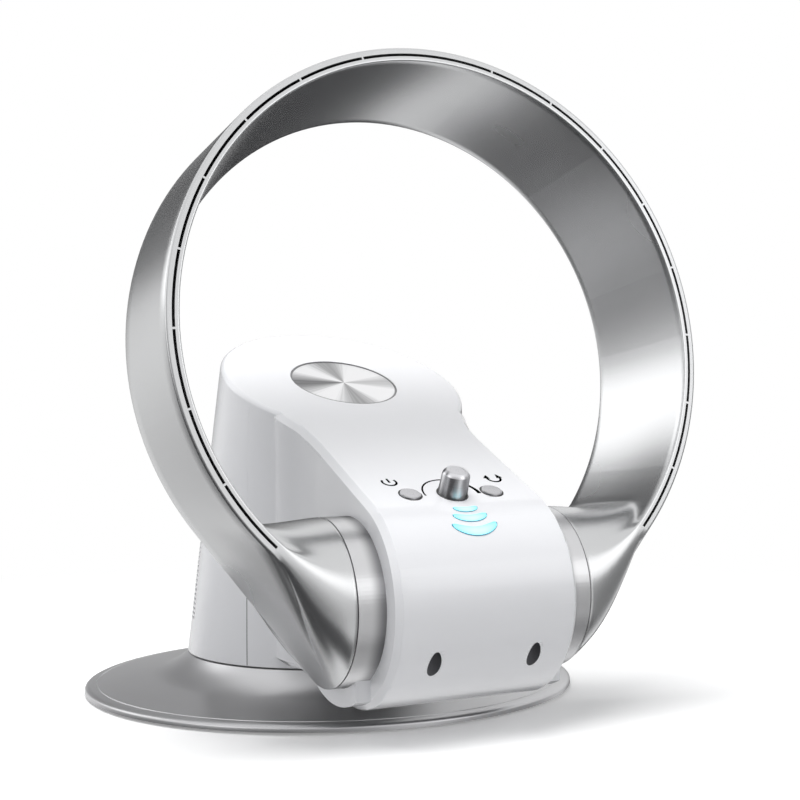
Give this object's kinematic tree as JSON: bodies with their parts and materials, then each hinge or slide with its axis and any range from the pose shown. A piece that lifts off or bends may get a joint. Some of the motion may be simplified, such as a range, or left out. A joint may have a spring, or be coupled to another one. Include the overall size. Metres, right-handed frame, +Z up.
{
  "type": "bladeless fan",
  "caption": "Desk fan with a hollow air ring on two funnel arms, a slatted body housing the blower, a speed knob, push buttons and a wide round base.",
  "frame": {"origin": "centre of the base, on the floor, at the swivel axis", "axes": "+Z up, the fan blows towards -Y, +X to the right seen from in front of the fan"},
  "size_m": [0.339, 0.3842, 0.396],
  "materials": {
    "white": "glossy white plastic",
    "silver": "silver lacquered plastic",
    "grey": "satin grey plastic",
    "satin_metal": "satin turned metal",
    "aluminium": "satin anodised",
    "steel": "zinc plated",
    "iron": "painted",
    "cyan_lens": "translucent acrylic lit from behind",
    "rubber": "matte",
    "dark_plastic": "moulded",
    "slide_plastic": "moulded acetal",
    "black_plastic": "moulded",
    "board": "printed circuit board",
    "foam": "open foam"
  },
  "bodies": {
    "base": {"base_cover": "silver", "base_plate": "dark_plastic", "base_ballast": "iron", "rubber_feet": "rubber", "base_screws": "steel", "swivel_post": "dark_plastic", "swivel_washer": "slide_plastic", "swivel_retainer": "steel", "swing_sector": "slide_plastic"},
    "body": {"turntable": "dark_plastic", "swing_motor": "steel", "top_cover": "white", "light_lenses": "cyan_lens", "badge_disc": "aluminium", "rear_shell": "white", "front_shell": "white", "front_screws": "steel", "left_collar": "grey", "right_collar": "grey", "friction_washers": "slide_plastic", "control_board": "board", "tact_switches": "dark_plastic", "speed_control": "dark_plastic", "fan_housing": "dark_plastic", "fan_motor": "steel", "motor_bracket": "dark_plastic", "air_duct": "dark_plastic", "dust_filter": "foam", "power_inlet": "black_plastic"},
    "pinion": {"swing_pinion": "slide_plastic"},
    "ring": {"ring_rim": "silver", "ring_outer_shell": "silver", "ring_inner_shell": "silver", "right_arm": "silver", "left_arm": "silver", "hub_spigots": "grey", "hub_seals": "rubber", "hub_retainers": "dark_plastic"},
    "power_key": {"power_button": "satin_metal"},
    "swing_key": {"swing_button": "satin_metal"},
    "knob": {"speed_knob": "satin_metal", "knob_shaft": "steel"},
    "rotor": {"impeller": "dark_plastic", "motor_shaft": "steel"}
  },
  "joints": [
    {"name": "swing", "type": "hinge", "parent": "base", "child": "body", "pos_m": [0, 0, 0.0272], "axis": [0, 0, 1], "range_deg": [-40, 40]},
    {"name": "pinion_turn", "type": "hinge", "parent": "body", "child": "pinion", "pos_m": [0.063, 0, 0.0272], "axis": [0, 0, 1], "range_deg": [-245, 245]},
    {"name": "tilt", "type": "hinge", "parent": "body", "child": "ring", "pos_m": [0, -0.16035, 0.0772], "axis": [1, 0, 0], "range_deg": [-80.77, 29.23]},
    {"name": "power_press", "type": "slide", "parent": "body", "child": "power_key", "axis": [0, 0.4123, -0.911], "range_m": [0, 0.001], "stiffness_N_per_m": 300},
    {"name": "swing_press", "type": "slide", "parent": "body", "child": "swing_key", "axis": [0, 0.4123, -0.911], "range_m": [0, 0.001], "stiffness_N_per_m": 300},
    {"name": "speed_turn", "type": "hinge", "parent": "body", "child": "knob", "pos_m": [0, -0.1783, 0.13625], "axis": [0, -0.4123, 0.911], "range_deg": [-270, 0]},
    {"name": "rotor_spin", "type": "hinge", "parent": "body", "child": "rotor", "pos_m": [0, -0.008, 0.085], "axis": [0, 0, 1], "continuous": true}
  ],
  "couplings": [
    {"joint": "pinion_turn", "follows": "swing", "ratio": 6}
  ]
}
